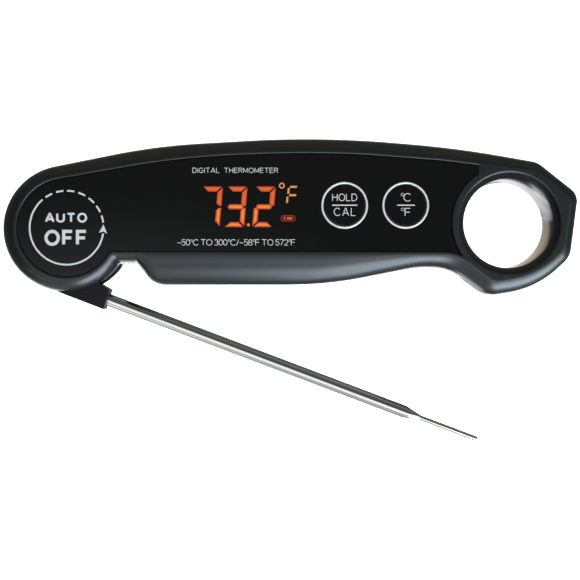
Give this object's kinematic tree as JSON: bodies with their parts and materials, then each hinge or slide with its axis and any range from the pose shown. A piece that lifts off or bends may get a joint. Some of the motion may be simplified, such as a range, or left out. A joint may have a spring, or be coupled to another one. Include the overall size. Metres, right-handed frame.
{
  "type": "folding digital meat thermometer",
  "caption": "Folding pocket thermometer with a lit display, round push buttons, a hanging ring and a thin steel probe that swings out of the handle.",
  "frame": {"origin": "on the probe's pivot axis, in the plane of the back that the handle lies on", "axes": "+X from the pivot towards the hanging ring, +Z out of the display side"},
  "size_m": [0.1675, 0.0884, 0.019],
  "materials": {
    "housing_plastic": "satin moulded black plastic",
    "panel_gloss": "glossy near-black window",
    "silver_trim": "polished silver ring",
    "probe_steel": "polished stainless tube",
    "screw_steel": "dark plated steel",
    "seal_rubber": "soft red-brown rubber",
    "grey_silicone": "soft grey silicone",
    "foam_tape": "thin foam tape",
    "display_glass": "dark display glass",
    "light_guide": "clear amber-lit acrylic",
    "white_plastic": "white moulded plastic",
    "lamp": "pale lamp body",
    "elastomer": "pink striped elastomer",
    "board": "green solder mask",
    "chip_black": "black moulded package",
    "capacitor": "tan ceramic",
    "plunger": "cream plastic",
    "bright_metal": "bright nickel steel",
    "cell_seal": "grey sealing plastic",
    "contact_gold": "gold-plated spring strip",
    "magnet_nickel": "nickel-plated magnet",
    "thermistor": "coated bead",
    "lead_insulation": "white insulation"
  },
  "bodies": {
    "housing": {"front_housing": "housing_plastic", "rear_housing": "housing_plastic", "pivot_cap": "housing_plastic", "face_panel": "panel_gloss", "hold_button_bezel": "silver_trim", "unit_button_bezel": "silver_trim", "housing_screws": "screw_steel", "board_screws": "screw_steel", "pivot_screw": "screw_steel", "pivot_washer": "screw_steel", "hub_seal_front": "seal_rubber", "hub_seal_rear": "seal_rubber", "housing_gasket": "grey_silicone", "keypad_seal": "grey_silicone", "panel_tape": "foam_tape", "display_upper_glass": "display_glass", "display_lower_glass": "display_glass", "light_guide": "light_guide", "reflector_sheet": "white_plastic", "display_frame": "white_plastic", "battery_cradle": "white_plastic", "friction_washer": "white_plastic", "backlight_lamp": "lamp", "elastomer_strips": "elastomer", "circuit_board": "board", "controller_chip": "chip_black", "converter_chip": "chip_black", "hall_switch": "chip_black", "chip_resistors": "chip_black", "hold_switch_body": "chip_black", "unit_switch_body": "chip_black", "chip_capacitors": "capacitor", "crystal": "bright_metal", "coin_cell_can": "bright_metal", "coin_cell_cap": "bright_metal", "coin_cell_seal": "cell_seal", "battery_centre_contact": "contact_gold", "battery_side_contact": "contact_gold", "back_magnets": "magnet_nickel", "board_leads": "lead_insulation"},
    "probe": {"probe_hub": "housing_plastic", "hub_magnet": "magnet_nickel", "probe_tube": "probe_steel", "thermistor": "thermistor", "sensor_leads": "lead_insulation"},
    "hold_button": {"hold_button": "panel_gloss", "hold_switch_plunger": "plunger"},
    "unit_button": {"unit_button": "panel_gloss", "unit_switch_plunger": "plunger"},
    "battery_door": {"battery_door": "housing_plastic", "battery_door_seal": "seal_rubber"}
  },
  "joints": [
    {"name": "probe_fold", "type": "hinge", "parent": "housing", "child": "probe", "pos_m": [0, 0, 0.0085], "axis": [0, 0, -1], "range_deg": [-20.7, 159.3]},
    {"name": "hold_press", "type": "slide", "parent": "housing", "child": "hold_button", "axis": [0, 0, -1], "range_m": [0, 0.0004], "stiffness_N_per_m": 1500, "springref_m": -0.0003},
    {"name": "unit_press", "type": "slide", "parent": "housing", "child": "unit_button", "axis": [0, 0, -1], "range_m": [0, 0.0004], "stiffness_N_per_m": 1500, "springref_m": -0.0003},
    {"name": "battery_door_turn", "type": "hinge", "parent": "housing", "child": "battery_door", "pos_m": [0.056, 0.0045, 0.001], "axis": [0, 0, 1], "range_deg": [0, 45]}
  ]
}
